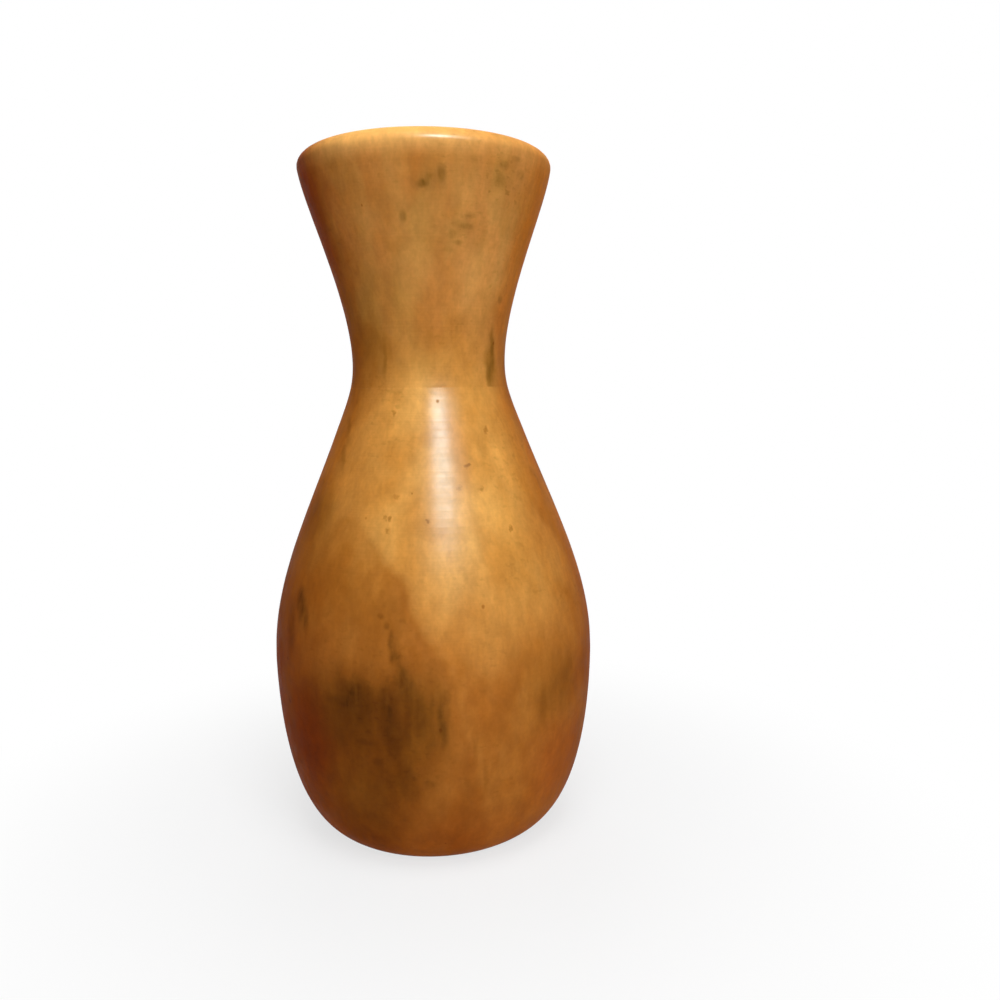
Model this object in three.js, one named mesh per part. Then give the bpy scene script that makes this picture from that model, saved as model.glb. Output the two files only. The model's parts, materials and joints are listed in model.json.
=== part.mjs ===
// A turned wooden vase: a round-bellied bowl, a flared neck glued into its top, a plug that closes
// the hollowing hole in its foot, a felt pad, and a glass liner that holds the water and lifts out.
// Millimetres, +Z up. The origin is the middle of the face that the vase rests on.
import * as THREE from "three";

// Glass liner, a standard tube that every bore and seat around it follows
const LINER_RADIUS = 19;
const LINER_WALL = 2;
const LINER_FLOOR = 4;
const LINER_HEEL_ROUNDING = 5;
const LINER_INSIDE_ROUNDING = 3;
const LINER_ABOVE_BORE = 11;
const LINER_CLEARANCE = 0.75;
const LINER_SEAT_GAP = 0.3;

// Felt pad, set into the foot and standing a little proud of it
const PAD_THICKNESS = 3;
const PAD_PROUD = 1;
const PAD_EDGE_GAP = 0.5;
const PAD_MARGIN = 5.2;

// Base plug, a disc with a boss that fills the hole in the foot
const PLUG_FLANGE_THICKNESS = 7;
const PLUG_FLANGE_WIDTH = 4.3;
const PLUG_BOSS_HEIGHT = 6;
const PLUG_SEAT_RIM = 10;
const PLUG_SEAT_DEPTH = 3;

// Glued joint between the neck and the bowl
const GLUE_GAP = 0.3;
const SPIGOT_WALL = 7;
const SPIGOT_LENGTH = 16;
const SPIGOT_END_GAP = 0.5;
const SHOULDER_WIDTH = 8.2;
const SOCKET_LEDGE_WIDTH = 3;
const SOCKET_LEDGE_THICKNESS = 6;

// Outside of the bowl, with heights measured from its foot
const FOOT_RING_WIDTH = 8.3;
const BELLY_RADIUS = 72.5;
const BELLY_HEIGHT = 80.9;
const BOWL_HEIGHT = 199.4;
const BOWL_WALL = 13;

// Outside of the neck, from the seam up to a rolled lip
const NECK_HEIGHT = 99.6;
const RIM_RADIUS = 55;
const LIP_HEIGHT = 6;
const LIP_OUTER_ROUNDING = 8.8;
const LIP_INNER_ROUNDING = 3.7;
const FLARE_START = 22;

// Leans of the outline away from straight up, in degrees
const BOWL_LEAN_AT_SEAM = 18.1;
const NECK_LEAN_AT_SEAM = 13.7;
const NECK_LEAN_AT_LIP = 8.4;

// How far each curve runs on before it turns, as a share of its own width or height
const FOOT_RUN_OUT = 0.94;
const FOOT_RUN_UP = 0.145;
const BELLY_RUN_DOWN = 0.167;
const BELLY_RUN_UP = 0.324;
const SHOULDER_RUN = 0.398;
const NECK_RUN = 0.279;
const LIP_RUN = 0.183;
const FLARE_RUN_DOWN = 0.25;
const FLARE_RUN_UP = 0.4;

// Steps round the axis and along each curve
const SEGMENTS_AROUND = 56;
const BOWL_STEPS = 11;
const NECK_STEPS = 12;
const LIP_STEPS = 4;
const FLARE_STEPS = 8;
const ROUNDING_STEPS = 3;

// Radii, worked outwards from the liner
const linerHoleRadius = LINER_RADIUS + LINER_CLEARANCE;
const spigotRadius = linerHoleRadius + SPIGOT_WALL;
const socketRadius = spigotRadius + GLUE_GAP;
const socketLedgeRadius = socketRadius - SOCKET_LEDGE_WIDTH;
const seamRadius = socketRadius + SHOULDER_WIDTH;
const plugBossRadius = linerHoleRadius + PLUG_SEAT_RIM;
const plugFlangeRadius = plugBossRadius + PLUG_FLANGE_WIDTH;
const padRadius = plugFlangeRadius + PAD_MARGIN;
const padRecessRadius = padRadius + PAD_EDGE_GAP;
const footRadius = padRecessRadius + FOOT_RING_WIDTH;

// Heights, worked upwards from the face that the vase rests on
const footHeight = PAD_PROUD;
const plugBottom = PAD_THICKNESS;
const plugFlangeTop = plugBottom + PLUG_FLANGE_THICKNESS;
const bowlFloor = plugFlangeTop + PLUG_BOSS_HEIGHT;
const plugSeat = bowlFloor - PLUG_SEAT_DEPTH;
const bellyHeight = footHeight + BELLY_HEIGHT;
const seamHeight = footHeight + BOWL_HEIGHT;
const socketFloor = seamHeight - SPIGOT_LENGTH - SPIGOT_END_GAP;
const hollowTop = socketFloor - SOCKET_LEDGE_THICKNESS;
const rimHeight = seamHeight + NECK_HEIGHT;
const linerBottom = plugSeat + LINER_SEAT_GAP;
const boreTop = seamHeight + FLARE_START;
const linerTop = boreTop + LINER_ABOVE_BORE;

const WOOD_BOWL = { color: 0xb87a3e, roughness: 0.5, metalness: 0 };
const WOOD_NECK = { color: 0xa96f42, roughness: 0.5, metalness: 0 };
const WOOD_PLUG = { color: 0xc69a66, roughness: 0.7, metalness: 0 };
const FELT = { color: 0x4a3a2e, roughness: 0.95, metalness: 0 };
const GLASS = { color: 0xe4efec, roughness: 0.05, metalness: 0, transparent: true, opacity: 0.35 };

function at(radius, height) {
  return new THREE.Vector2(radius, height);
}

// The point that lies a distance from a start, on a line that leans from straight up by an angle
function along(start, distance, leanDegrees) {
  const lean = THREE.MathUtils.degToRad(leanDegrees);
  return at(start.x + distance * Math.sin(lean), start.y + distance * Math.cos(lean));
}

function curve(start, startHandle, endHandle, end, steps) {
  return new THREE.CubicBezierCurve(start, startHandle, endHandle, end).getPoints(steps);
}

// An elliptical rounding about a centre, from one angle to another in degrees
function rounding(centre, radiusOut, radiusUp, fromDegrees, toDegrees, steps) {
  const from = THREE.MathUtils.degToRad(fromDegrees);
  const to = THREE.MathUtils.degToRad(toDegrees);
  const clockwise = to < from;
  const arc = new THREE.EllipseCurve(centre.x, centre.y, radiusOut, radiusUp, from, to, clockwise);
  return arc.getPoints(steps);
}

// The inner face of a turned wall: the outer face's points, moved square to it by the wall
function innerFace(outline, wall) {
  return outline.map((point, i) => {
    const before = outline[Math.max(i - 1, 0)];
    const after = outline[Math.min(i + 1, outline.length - 1)];
    const direction = after.clone().sub(before).normalize();
    const radius = point.x - direction.y * wall;
    return at(Math.max(radius, linerHoleRadius), point.y + direction.x * wall);
  });
}

// The radius of an outline that rises steadily, at one height
function radiusAt(outline, height) {
  const above = outline.findIndex((point) => point.y >= height);
  const high = outline[Math.max(above, 1)];
  const low = outline[Math.max(above, 1) - 1];
  return low.x + ((high.x - low.x) * (height - low.y)) / (high.y - low.y);
}

// The stretch of a rising outline between two heights, with its ends exactly on them
function stretch(outline, bottom, top) {
  const middle = outline.filter((point) => point.y > bottom && point.y < top);
  return [at(radiusAt(outline, bottom), bottom), ...middle, at(radiusAt(outline, top), top)];
}

// The outside of the bowl, from the foot over the belly to the seam
function bowlOutline() {
  const foot = at(footRadius, footHeight);
  const belly = at(BELLY_RADIUS, bellyHeight);
  const seam = at(seamRadius, seamHeight);
  const footHandle = at(
    footRadius + (BELLY_RADIUS - footRadius) * FOOT_RUN_OUT,
    footHeight + BELLY_HEIGHT * FOOT_RUN_UP,
  );
  const underBelly = at(BELLY_RADIUS, bellyHeight - BELLY_HEIGHT * BELLY_RUN_DOWN);
  const rise = seamHeight - bellyHeight;
  const overBelly = at(BELLY_RADIUS, bellyHeight + rise * BELLY_RUN_UP);
  const underSeam = along(seam, -rise * SHOULDER_RUN, -BOWL_LEAN_AT_SEAM);
  const lower = curve(foot, footHandle, underBelly, belly, BOWL_STEPS);
  const upper = curve(belly, overBelly, underSeam, seam, BOWL_STEPS);
  return [...lower, ...upper.slice(1)];
}

// The outside of the neck, from the seam to the crown of its rolled lip
function neckOutline() {
  const seam = at(seamRadius, seamHeight);
  const lipCentre = at(RIM_RADIUS - LIP_OUTER_ROUNDING, rimHeight - LIP_HEIGHT);
  const slope = Math.tan(THREE.MathUtils.degToRad(NECK_LEAN_AT_LIP));
  const lipStart = -THREE.MathUtils.radToDeg(Math.atan((slope * LIP_HEIGHT) / LIP_OUTER_ROUNDING));
  const lip = rounding(lipCentre, LIP_OUTER_ROUNDING, LIP_HEIGHT, lipStart, 90, LIP_STEPS * 2);
  const overSeam = along(seam, NECK_HEIGHT * NECK_RUN, -NECK_LEAN_AT_SEAM);
  const underLip = along(lip[0], -NECK_HEIGHT * LIP_RUN, NECK_LEAN_AT_LIP);
  const flank = curve(seam, overSeam, underLip, lip[0], NECK_STEPS);
  return [...flank, ...lip.slice(1)];
}

// The inside of the neck, from the crown of the lip down the flare to the bore
function flareOutline() {
  const lipCentre = at(RIM_RADIUS - LIP_OUTER_ROUNDING, rimHeight - LIP_HEIGHT);
  const lip = rounding(lipCentre, LIP_INNER_ROUNDING, LIP_HEIGHT, 90, 180, LIP_STEPS);
  const flareTop = lip[lip.length - 1];
  const flareBottom = at(linerHoleRadius, boreTop);
  const drop = flareTop.y - flareBottom.y;
  const underLip = at(flareTop.x, flareTop.y - drop * FLARE_RUN_DOWN);
  const overBore = at(flareBottom.x, flareBottom.y + drop * FLARE_RUN_UP);
  const flare = curve(flareTop, underLip, overBore, flareBottom, FLARE_STEPS);
  return [...lip.slice(1), ...flare.slice(1)];
}

function bowlProfile() {
  const outline = bowlOutline();
  const hollow = stretch(innerFace(outline, BOWL_WALL), bowlFloor, hollowTop).reverse();
  return [
    at(padRecessRadius, footHeight),
    ...outline,
    at(socketRadius, seamHeight),
    at(socketRadius, socketFloor),
    at(socketLedgeRadius, socketFloor),
    at(socketLedgeRadius, hollowTop),
    ...hollow,
    at(plugBossRadius + GLUE_GAP, bowlFloor),
    at(plugBossRadius + GLUE_GAP, plugFlangeTop),
    at(plugFlangeRadius + GLUE_GAP, plugFlangeTop),
    at(plugFlangeRadius + GLUE_GAP, plugBottom),
    at(padRecessRadius, plugBottom),
    at(padRecessRadius, footHeight),
  ];
}

function neckProfile() {
  const spigotBottom = seamHeight - SPIGOT_LENGTH;
  return [
    at(linerHoleRadius, spigotBottom),
    at(spigotRadius, spigotBottom),
    at(spigotRadius, seamHeight),
    ...neckOutline(),
    ...flareOutline(),
    at(linerHoleRadius, spigotBottom),
  ];
}

function plugProfile() {
  return [
    at(0, plugBottom),
    at(plugFlangeRadius, plugBottom),
    at(plugFlangeRadius, plugFlangeTop),
    at(plugBossRadius, plugFlangeTop),
    at(plugBossRadius, bowlFloor),
    at(linerHoleRadius, bowlFloor),
    at(linerHoleRadius, plugSeat),
    at(0, plugSeat),
  ];
}

function padProfile() {
  return [at(0, 0), at(padRadius, 0), at(padRadius, PAD_THICKNESS), at(0, PAD_THICKNESS)];
}

function linerProfile() {
  const inside = LINER_RADIUS - LINER_WALL;
  const floor = linerBottom + LINER_FLOOR;
  const rimRounding = LINER_WALL / 2;
  const heelCentre = at(LINER_RADIUS - LINER_HEEL_ROUNDING, linerBottom + LINER_HEEL_ROUNDING);
  const rimCentre = at(LINER_RADIUS - rimRounding, linerTop - rimRounding);
  const floorCentre = at(inside - LINER_INSIDE_ROUNDING, floor + LINER_INSIDE_ROUNDING);
  const heel = LINER_HEEL_ROUNDING;
  const corner = LINER_INSIDE_ROUNDING;
  return [
    at(0, linerBottom),
    ...rounding(heelCentre, heel, heel, -90, 0, ROUNDING_STEPS),
    ...rounding(rimCentre, rimRounding, rimRounding, 0, 180, ROUNDING_STEPS + 1),
    ...rounding(floorCentre, corner, corner, 0, -90, ROUNDING_STEPS),
    at(0, floor),
  ];
}

// A named solid of revolution about Z
function turned(name, profile, look) {
  const geometry = new THREE.LatheGeometry(profile, SEGMENTS_AROUND);
  geometry.rotateX(Math.PI / 2);
  const mesh = new THREE.Mesh(geometry, new THREE.MeshStandardMaterial(look));
  mesh.name = name;
  return mesh;
}

const vase = new THREE.Group();
vase.add(turned("bowl", bowlProfile(), WOOD_BOWL));
vase.add(turned("neck_collar", neckProfile(), WOOD_NECK));
vase.add(turned("base_plug", plugProfile(), WOOD_PLUG));
vase.add(turned("felt_pad", padProfile(), FELT));
vase.add(turned("glass_liner", linerProfile(), GLASS));

export default vase;
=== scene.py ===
import json
import math
from types import SimpleNamespace

import bpy
from bpy.props import FloatProperty, FloatVectorProperty, IntProperty, PointerProperty
from bpy.types import NodeSocket, Operator, Panel, PropertyGroup
from mathutils import Matrix, Vector


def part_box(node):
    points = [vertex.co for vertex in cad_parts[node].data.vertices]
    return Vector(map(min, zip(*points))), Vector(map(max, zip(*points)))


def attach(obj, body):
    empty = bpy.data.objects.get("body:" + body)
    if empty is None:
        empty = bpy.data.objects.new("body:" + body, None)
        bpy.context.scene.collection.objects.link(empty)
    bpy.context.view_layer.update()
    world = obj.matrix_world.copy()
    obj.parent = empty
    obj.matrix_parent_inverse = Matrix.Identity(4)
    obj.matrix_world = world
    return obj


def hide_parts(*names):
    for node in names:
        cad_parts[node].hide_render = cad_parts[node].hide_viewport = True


bl_info = {
    "name": "Turned Wooden Vase",
    "version": (1, 0, 0),
    "blender": (4, 5, 0),
    "location": "3D View > Sidebar > Vase",
    "description": "Turns, finishes and stages a wooden vase around its packed solids",
    "category": "Add Mesh",
}

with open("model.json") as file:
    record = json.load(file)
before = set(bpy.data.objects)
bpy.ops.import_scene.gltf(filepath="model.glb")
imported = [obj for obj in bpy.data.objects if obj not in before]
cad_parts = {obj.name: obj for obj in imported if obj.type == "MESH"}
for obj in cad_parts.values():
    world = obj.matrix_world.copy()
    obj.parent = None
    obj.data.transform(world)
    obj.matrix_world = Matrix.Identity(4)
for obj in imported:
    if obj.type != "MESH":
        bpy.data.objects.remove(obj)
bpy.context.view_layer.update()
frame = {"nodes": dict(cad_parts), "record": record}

MM = 0.001
SEAM_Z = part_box("bowl")[1].z

# The top of the bowl's outside is faired over this height, so that it leans less where it meets
# the neck, by this change of slope. Only the bowl is wider than this so near below the seam.
SHOULDER_FAIRING = 20 * MM
SHOULDER_EASE = 0.07
SHOULDER_OUTSIDE = 30 * MM

# A turn sharper than this between two stretches of a section is an edge, and is eased. The easing
# takes at most this share of a stretch, and points this many times further out hold it in place.
EDGE_TURN = math.radians(25)
EDGE_SHARE = 0.3
HOLDS = (1.4, 2.4)


def tint(red, green, blue):
    """A colour written as a picture shows it, 0 to 255, as scene linear values."""
    shares = [channel / 255 for channel in (red, green, blue)]
    return tuple(c / 12.92 if c <= 0.04045 else ((c + 0.055) / 1.055) ** 2.4 for c in shares)


# Settings


def wood_colour(name, description, red, green, blue):
    """A colour that the user can change, 0 to 255 as a picture shows it."""
    return FloatVectorProperty(
        name=name, description=description, subtype="COLOR", size=3, min=0, max=1,
        default=tint(red, green, blue),
    )


class VaseTurning(PropertyGroup):
    """How the pieces leave the lathe."""

    around: IntProperty(
        name="Steps around", description="Facets round the axis", default=192, min=32
    )
    step: FloatProperty(
        name="Step along",
        description="Distance between the rings of points on a curved stretch",
        default=1.1 * MM, min=0.2 * MM, unit="LENGTH",
    )
    wood_edge: FloatProperty(
        name="Wood edge",
        description="Rounding that sanding leaves on an edge",
        default=0.06 * MM, min=0.02 * MM, unit="LENGTH",
    )
    glass_edge: FloatProperty(
        name="Glass edge",
        description="Rounding of the liner's few sharp turns",
        default=0.3 * MM, min=0.02 * MM, unit="LENGTH",
    )
    felt_edge: FloatProperty(
        name="Felt edge",
        description="Rounding of the felt's cut edge",
        default=0.7 * MM, min=0.02 * MM, unit="LENGTH",
    )
    tool_depth: FloatProperty(
        name="Tool waviness",
        description="Depth of the slow waves that the gouge leaves under the sanding",
        default=0.05 * MM, min=0, unit="LENGTH",
    )
    tool_pitch: FloatProperty(
        name="Tool wave length",
        description="Height of one such wave",
        default=9 * MM, min=1 * MM, unit="LENGTH",
    )


class VaseWood(PropertyGroup):
    """Colours of the wood and of the light and shade painted on it: plain ones first, then tints, which
    darken what they lie on.
    """

    honey: wood_colour("Honey", "Pale figure", 221, 163, 82)
    amber: wood_colour("Amber", "Main colour", 201, 138, 58)
    # Pale tone: painted light on the rim's rounding, and a paler patch on the neck's right front
    pale_tone: wood_colour("Rubbed", "Paler wood on the rim's rounding", 240, 178, 98)
    # Painted shade: a warmer, darker colour at the neck's right edge, as seen from the front
    neck_edge_shade: wood_colour("Tawny", "Warmer wood on the neck's right side", 207, 118, 30)
    raw: wood_colour("Raw wood", "Unlacquered wood inside and on the plug", 204, 164, 112)
    rose: wood_colour("Rose dye", "Duller cast of the neck's blank", 236, 217, 217)
    heart: wood_colour("Heartwood dye", "Darker wood low on one side", 196, 166, 108)
    # Russet darkens specks, pores and the lower bowl, and also paints shade on the two outer sides
    russet: wood_colour("Russet dye", "Redder wood towards the flanks and the foot", 196, 149, 56)
    # Cherry reddens towards the foot, and paints shade on the outermost flanks
    cherry: wood_colour("Cherry dye", "Red of the outermost flanks and the foot", 232, 140, 62)
    olive: wood_colour("Olive dye", "Wide soft shades", 203, 206, 149)
    # Umber darkens the bowl round the stain low on the left, and also paints shade at the left edges of
    # the shoulder and the neck
    umber: wood_colour("Umber dye", "Deep brown wood round the stain", 178, 168, 38)
    stain: wood_colour("Stain dye", "Olive-black streaks, knots and bruises", 152, 153, 98)


class VaseStage(PropertyGroup):
    """Camera and light."""

    distance: FloatProperty(
        name="Camera distance", description="From the vase's axis", default=0.40365, min=0.1,
        unit="LENGTH",
    )
    height: FloatProperty(
        name="Camera height", description="Above the table", default=0.20268, min=0, unit="LENGTH"
    )
    turn: FloatProperty(
        name="Camera turn", description="To the right, away from the axis",
        default=math.radians(4.435), subtype="ANGLE",
    )
    tilt: FloatProperty(
        name="Camera tilt", description="Down from level", default=math.radians(7.678),
        subtype="ANGLE",
    )
    roll: FloatProperty(
        name="Camera roll", description="Clockwise", default=math.radians(0.676), subtype="ANGLE"
    )
    lens: FloatProperty(
        name="Lens", description="Focal length on a 36 mm wide sensor", default=31.76, min=1,
        unit="CAMERA",
    )
    key_power: FloatProperty(
        name="Key light", description="Power of the front lamp", default=3.6, min=0
    )
    top_power: FloatProperty(
        name="Top light", description="Power of the overhead lamp", default=7.6, min=0
    )
    back_power: FloatProperty(
        name="Back light", description="Power of the lamp behind", default=6.0, min=0
    )
    window_power: FloatProperty(
        name="Window", description="Power of the lamp that only draws the highlight", default=69.0,
        min=0,
    )
    fill: FloatProperty(
        name="Fill", description="Strength of the room's own light", default=0.13, min=0
    )


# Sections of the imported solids


def section(node):
    """The outline of a turned node's section as (radius, height) corners, in order, in metres."""
    mesh = frame["nodes"][node].data
    corners = {}
    for vertex in mesh.vertices:
        x, y, z = vertex.co
        if abs(y) < 1e-6 and x > -1e-6:
            corners[vertex.index] = (round(x, 7), round(z, 7))
    beside = {}
    for face in mesh.polygons:
        for first, second in face.edge_keys:
            if first in corners and second in corners and corners[first] != corners[second]:
                beside.setdefault(corners[first], set()).add(corners[second])
                beside.setdefault(corners[second], set()).add(corners[first])
    ends = [corner for corner in beside if len(beside[corner]) == 1]
    walk = [min(ends, key=lambda corner: corner[1]) if ends else min(beside)]
    while True:
        ahead = [corner for corner in beside[walk[-1]] if corner not in walk]
        if not ahead:
            break
        walk.append(min(ahead))
    if not ends:
        walk.append(walk[0])
    return [Vector(corner) for corner in walk]


def turn_at(before, corner, after):
    """The angle through which an outline turns at a corner."""
    return (corner - before).angle(after - corner)


def eased(outline, i, easing):
    """A small rounding in place of one sharp corner, with two holding points before and after it."""
    corner = outline[i]
    before = outline[i - 1] if i else outline[-2]
    after = outline[i + 1] if i + 1 < len(outline) else outline[1]
    room = min((corner - before).length, (after - corner).length)
    reach = min(easing, room * EDGE_SHARE)
    back = (before - corner).normalized() * reach
    ahead = (after - corner).normalized() * reach
    start, end = corner + back, corner + ahead
    bend = []
    for t in (0, 0.25, 0.5, 0.75, 1):
        bend.append(start * (1 - t) ** 2 + corner * 2 * t * (1 - t) + end * t**2)
    held_before = [corner + back * share for share in reversed(HOLDS)]
    held_after = [corner + ahead * share for share in HOLDS]
    return [*held_before, *bend, *held_after]


def smooth(points, step):
    """Finer points on the smooth curve through a stretch of an outline."""
    if len(points) < 3:
        return list(points)
    spans = [after - before for before, after in zip(points, points[1:])]
    leans = [(after - before).normalized() for before, after in zip(points, points[2:])]
    first, last = spans[0].normalized(), spans[-1].normalized()
    leans.insert(0, first * first.dot(leans[0]) * 2 - leans[0])
    leans.append(last * last.dot(leans[-1]) * 2 - leans[-1])
    fine = []
    for i, span in enumerate(spans):
        start, end = leans[i] * span.length, leans[i + 1] * span.length
        pieces = max(1, round(span.length / step))
        for j in range(pieces):
            t = j / pieces
            bend = (span * 3 - start * 2 - end) * t**2 + (start + end - span * 2) * t**3
            fine.append(points[i] + start * t + bend)
    fine.append(points[-1].copy())
    return fine


def fair_shoulder(points):
    """Draws the bowl's shoulder in by a hair, so that its lean eases off up to the seam."""
    for point in points:
        share = (SEAM_Z - point.y) / SHOULDER_FAIRING
        if 0 <= share < 1 and point.x > SHOULDER_OUTSIDE:
            point.x -= SHOULDER_EASE * SHOULDER_FAIRING * share * (1 - share) ** 2


def finished_outline(node, easing, step):
    """The section of a node with its curves made fine and its edges eased."""
    outline = section(node)
    last = len(outline) - 1
    closed = outline[0] == outline[-1]
    sharp = []
    for i in range(last + 1):
        inside = 0 < i < last
        if not inside and not closed:
            continue
        before = outline[i - 1] if i else outline[-2]
        after = outline[i + 1] if i < last else outline[1]
        if turn_at(before, outline[i], after) > EDGE_TURN:
            sharp.append(i)
    made = []
    stops = sorted({0, *sharp, last})
    for first, second in zip(stops, stops[1:]):
        stretch = smooth(outline[first : second + 1], step)
        if first in sharp:
            rounded = eased(outline, first, easing)
            stretch = (rounded if first else rounded[len(rounded) // 2 :]) + stretch[1:]
        if second in sharp and second != last:
            stretch = stretch[:-1]
        elif second in sharp:
            rounded = eased(outline, second, easing)
            stretch = stretch[:-1] + rounded[: len(rounded) // 2 + 1]
        made += stretch
    fair_shoulder(made)
    return made


# Building nodes


def add(tree, kind, inputs=None, **settings):
    """Adds one node, sets it up, and gives each named input a value or a link."""
    node = tree.nodes.new(kind)
    for name, value in settings.items():
        setattr(node, name, value)
    for name, value in (inputs or {}).items():
        if isinstance(value, NodeSocket):
            tree.links.new(value, node.inputs[name])
        else:
            node.inputs[name].default_value = value
    return node


def calc(tree, operation, *values, clamp=False):
    node = add(tree, "ShaderNodeMath", dict(enumerate(values)), operation=operation, use_clamp=clamp)
    return node.outputs[0]


def ramp(tree, value, low, high, bottom=0.0, top=1.0):
    """Rises smoothly from bottom to top while value goes from low to high."""
    settings = {"Value": value, "From Min": low, "From Max": high, "To Min": bottom, "To Max": top}
    return add(tree, "ShaderNodeMapRange", settings, interpolation_type="SMOOTHSTEP").outputs[0]


def blend(tree, share, first, second, kind="MIX"):
    """Mixes two colours."""
    node = add(tree, "ShaderNodeMix", {0: share}, data_type="RGBA", blend_type=kind)
    for index, colour in ((6, first), (7, second)):
        if isinstance(colour, NodeSocket):
            tree.links.new(colour, node.inputs[index])
        else:
            node.inputs[index].default_value = (*colour, 1)
    return node.outputs[2]


def vector(tree, operation, *values):
    inputs = {}
    for index, value in enumerate(values):
        inputs["Scale" if operation == "SCALE" and index == 1 else index] = value
    node = add(tree, "ShaderNodeVectorMath", inputs, operation=operation)
    return node.outputs["Value" if operation in ("LENGTH", "DOT_PRODUCT") else 0]


def use(tree, group, **inputs):
    """Places a node group, with spaces in its socket names written as underscores."""
    node = tree.nodes.new("ShaderNodeGroup")
    node.node_tree = group
    for name, value in inputs.items():
        socket = node.inputs[name.replace("_", " ")]
        if isinstance(value, NodeSocket):
            tree.links.new(value, socket)
        else:
            socket.default_value = value
    return node.outputs[0]


def new_group(name, inputs, output, output_kind="NodeSocketFloat"):
    """An empty shader group: the group, its incoming sockets by name, and its one outgoing socket."""
    tree = bpy.data.node_groups.new(name, "ShaderNodeTree")
    for label, kind, value in inputs:
        socket = tree.interface.new_socket(label, in_out="INPUT", socket_type=kind)
        if value is not None:
            socket.default_value = value
    tree.interface.new_socket(output, in_out="OUTPUT", socket_type=output_kind)
    incoming = tree.nodes.new("NodeGroupInput").outputs
    outgoing = tree.nodes.new("NodeGroupOutput").inputs[0]
    return tree, incoming, outgoing


FLOAT, VECTOR = "NodeSocketFloat", "NodeSocketVector"


def fibre_group():
    """Noise drawn out along the grain, which runs up the vase."""
    inputs = [
        ("Position", VECTOR, None),
        ("Across", FLOAT, 1.0),
        ("Along", FLOAT, 20.0),
        ("Detail", FLOAT, 2.0),
        ("Seed", FLOAT, 0.0),
    ]
    tree, start, end = new_group("Fibre Noise", inputs, "Value")
    across, along = start["Across"], start["Along"]
    cell = add(tree, "ShaderNodeCombineXYZ", {0: across, 1: across, 2: along}).outputs[0]
    place = vector(tree, "DIVIDE", start["Position"], cell)
    noise = add(
        tree,
        "ShaderNodeTexNoise",
        {"Vector": place, "W": start["Seed"], "Scale": 1.0, "Detail": start["Detail"]},
        noise_dimensions="4D",
    )
    tree.links.new(noise.outputs[0], end)
    return tree


def warp_group():
    """Moves a position about by smooth noise, so that shapes laid on it turn irregular."""
    inputs = [("Position", VECTOR, None), ("Reach", FLOAT, 6.0), ("Cell", FLOAT, 18.0)]
    tree, start, end = new_group("Warp", inputs, "Position", VECTOR)
    per_cell = calc(tree, "DIVIDE", 1.0, start["Cell"])
    noise = add(
        tree, "ShaderNodeTexNoise", {"Vector": start["Position"], "Scale": per_cell, "Detail": 3.0}
    )
    centred = vector(tree, "SUBTRACT", noise.outputs[1], (0.5, 0.5, 0.5))
    shift = vector(tree, "SCALE", centred, calc(tree, "MULTIPLY", start["Reach"], 2.0))
    tree.links.new(vector(tree, "ADD", start["Position"], shift), end)
    return tree


def patch_group():
    """A soft-edged patch about a centre, with a half size along each axis."""
    inputs = [("Position", VECTOR, None), ("Centre", VECTOR, None), ("Size", VECTOR, (10, 10, 10))]
    tree, start, end = new_group("Patch", inputs, "Mask")
    offset = vector(tree, "SUBTRACT", start["Position"], start["Centre"])
    distance = vector(tree, "LENGTH", vector(tree, "DIVIDE", offset, start["Size"]))
    tree.links.new(ramp(tree, distance, 1.15, 0.25), end)
    return tree


def pit_group():
    """Small round pores and bruises, scattered thinly, of mixed sizes."""
    inputs = [
        ("Position", VECTOR, None),
        ("Spacing", FLOAT, 8.0),
        ("Radius", FLOAT, 0.5),
        ("Share", FLOAT, 0.5),
    ]
    tree, start, end = new_group("Pits", inputs, "Mask")
    place = vector(tree, "MULTIPLY", start["Position"], (1.0, 1.0, 0.75))
    cells = add(
        tree,
        "ShaderNodeTexVoronoi",
        {"Vector": place, "Scale": calc(tree, "DIVIDE", 1.0, start["Spacing"])},
    )
    distance = calc(tree, "MULTIPLY", cells.outputs["Distance"], start["Spacing"])
    split = add(tree, "ShaderNodeSeparateColor", {0: cells.outputs["Color"]})
    present = calc(tree, "LESS_THAN", split.outputs[0], start["Share"])
    radius = calc(tree, "MULTIPLY", start["Radius"], calc(tree, "ADD", split.outputs[1], 0.35))
    spot = ramp(tree, distance, radius, calc(tree, "MULTIPLY", radius, 0.35))
    tree.links.new(calc(tree, "MULTIPLY", spot, present), end)
    return tree


def lathe_mark_group():
    """Fine rings that sanding on the lathe leaves: a height that changes up the vase alone."""
    inputs = [("Position", VECTOR, None), ("Pitch", FLOAT, 0.6)]
    tree, start, end = new_group("Lathe Marks", inputs, "Height")
    split = add(tree, "ShaderNodeSeparateXYZ", {0: start["Position"]})
    around = vector(tree, "MULTIPLY", start["Position"], (0.02, 0.02, 0.0))
    drift = add(tree, "ShaderNodeTexNoise", {"Vector": around, "Scale": 1.0, "Detail": 0.0})
    level = calc(tree, "DIVIDE", split.outputs[2], start["Pitch"])
    level = calc(tree, "ADD", level, drift.outputs[0])
    rings = add(
        tree, "ShaderNodeTexNoise", {"W": level, "Scale": 1.0, "Detail": 3.0}, noise_dimensions="1D"
    )
    tree.links.new(rings.outputs[0], end)
    return tree


GROUP_MAKERS = {
    "fibre": fibre_group,
    "warp": warp_group,
    "patch": patch_group,
    "pits": pit_group,
    "marks": lathe_mark_group,
}
groups = {}


def shared(name):
    """A node group, made the first time that it is asked for."""
    if name not in groups:
        groups[name] = GROUP_MAKERS[name]()
    return groups[name]


# Materials


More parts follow.
